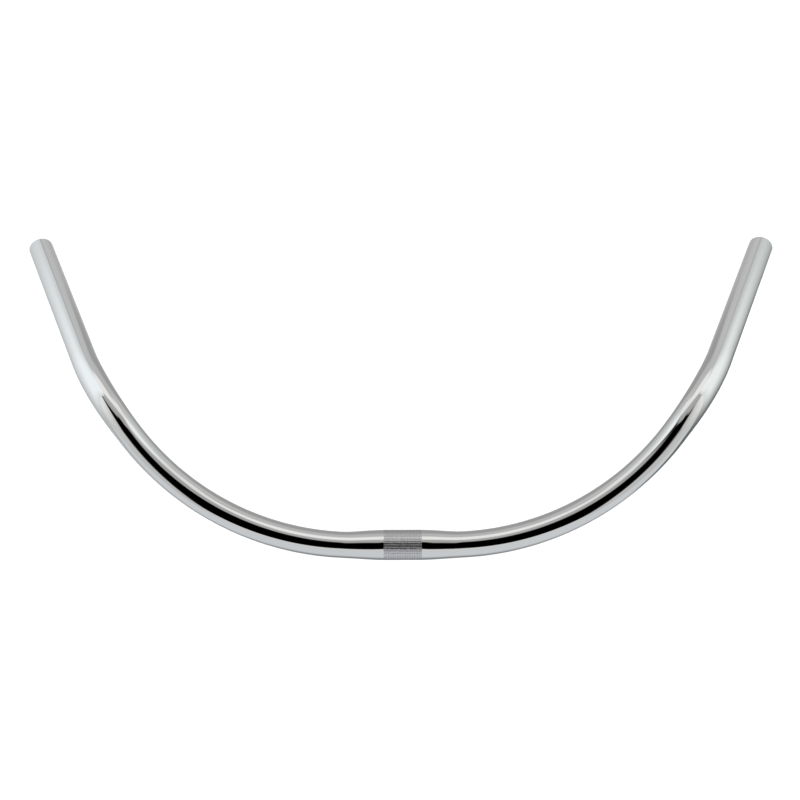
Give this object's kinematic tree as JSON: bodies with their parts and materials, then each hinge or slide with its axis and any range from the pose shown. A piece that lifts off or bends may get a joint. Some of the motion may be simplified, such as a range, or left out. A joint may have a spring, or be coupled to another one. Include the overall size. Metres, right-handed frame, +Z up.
{
  "type": "handlebar",
  "caption": "Swept-back handlebar: one bent chromed steel tube with a knurled clamp barrel in the middle, a liner inside the barrel and open, level grip ends.",
  "frame": {"origin": "middle of the clamp barrel, on the tube's axis", "axes": "+X along the clamp barrel to the rider's right, +Y back towards the rider, the way the grip ends point, +Z up with the grips level"},
  "size_m": [0.7034, 0.3082, 0.1169],
  "materials": {
    "chrome_plate": "bright chrome plate on polished steel, satin on the knurl",
    "liner_steel": "plain drawn steel, unplated"
  },
  "bodies": {
    "root": {"bar_tube": "chrome_plate", "centre_liner": "liner_steel"}
  },
  "joints": []
}
